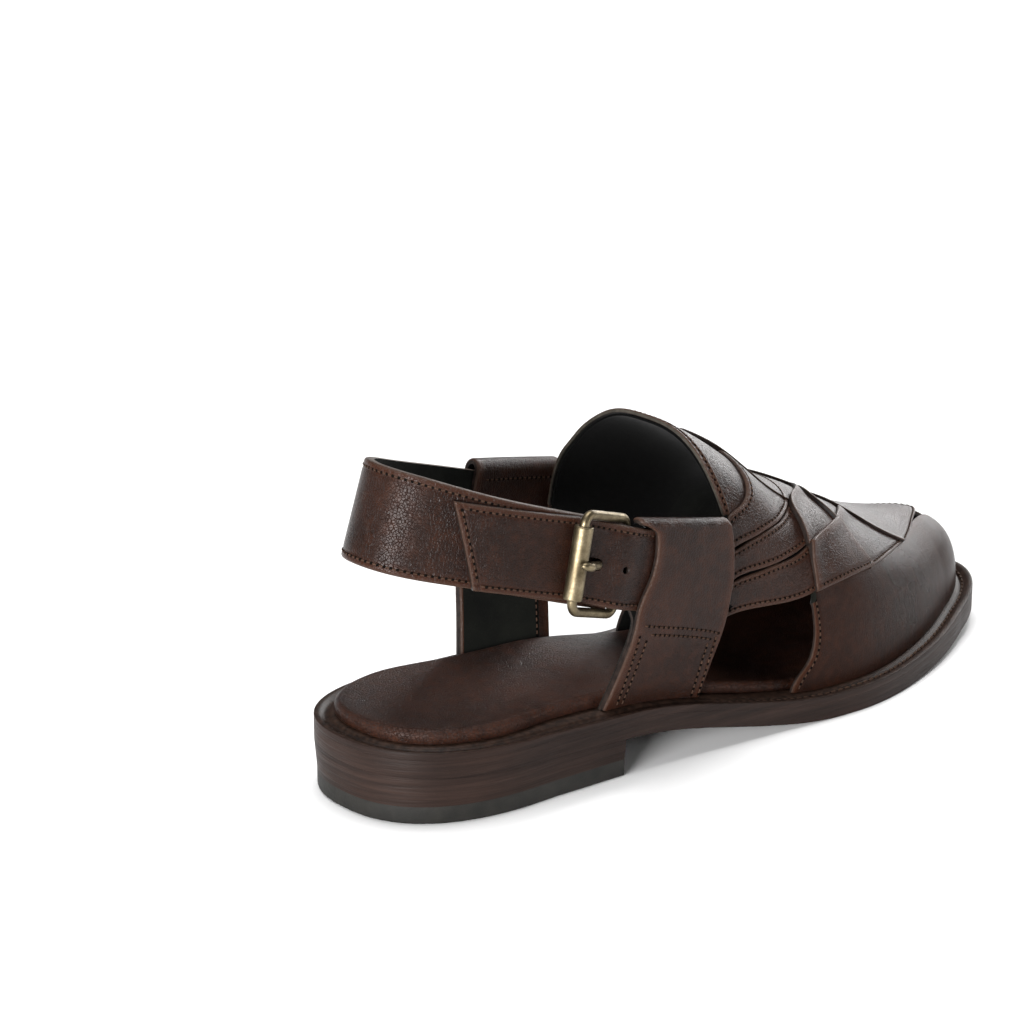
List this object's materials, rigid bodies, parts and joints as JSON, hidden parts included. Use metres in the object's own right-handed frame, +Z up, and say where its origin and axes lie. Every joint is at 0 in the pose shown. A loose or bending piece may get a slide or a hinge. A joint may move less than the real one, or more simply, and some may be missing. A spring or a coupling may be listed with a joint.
{
  "type": "peshawari chappal",
  "caption": "Right shoe: low heeled leather peshawari chappal with a plaited apron over the instep, peep toe, open sides, two folded ears and a buckled heel strap.",
  "frame": {"origin": "on the floor, below the middle of the heel seat", "axes": "+X forward along the foot to the toe, +Y to the inner side of the foot, +Z up"},
  "size_m": [0.292, 0.1032, 0.11],
  "materials": {
    "upper": "dark brown pebbled leather, satin",
    "insole": "dark brown pebbled leather, satin",
    "sole": "dark stained and burnished edge",
    "top_lift": "near black, matte",
    "buckle": "antique, satin"
  },
  "bodies": {
    "root": {"outsole": "sole", "welt": "sole", "heel_block": "sole", "heel_top_lift": "top_lift", "insole": "insole", "upper": "upper", "ear_outer": "upper", "ear_inner": "upper", "heel_strap": "upper", "tail_strap": "upper", "buckle_frame": "buckle", "buckle_roller": "buckle", "buckle_prong": "buckle"}
  },
  "joints": []
}
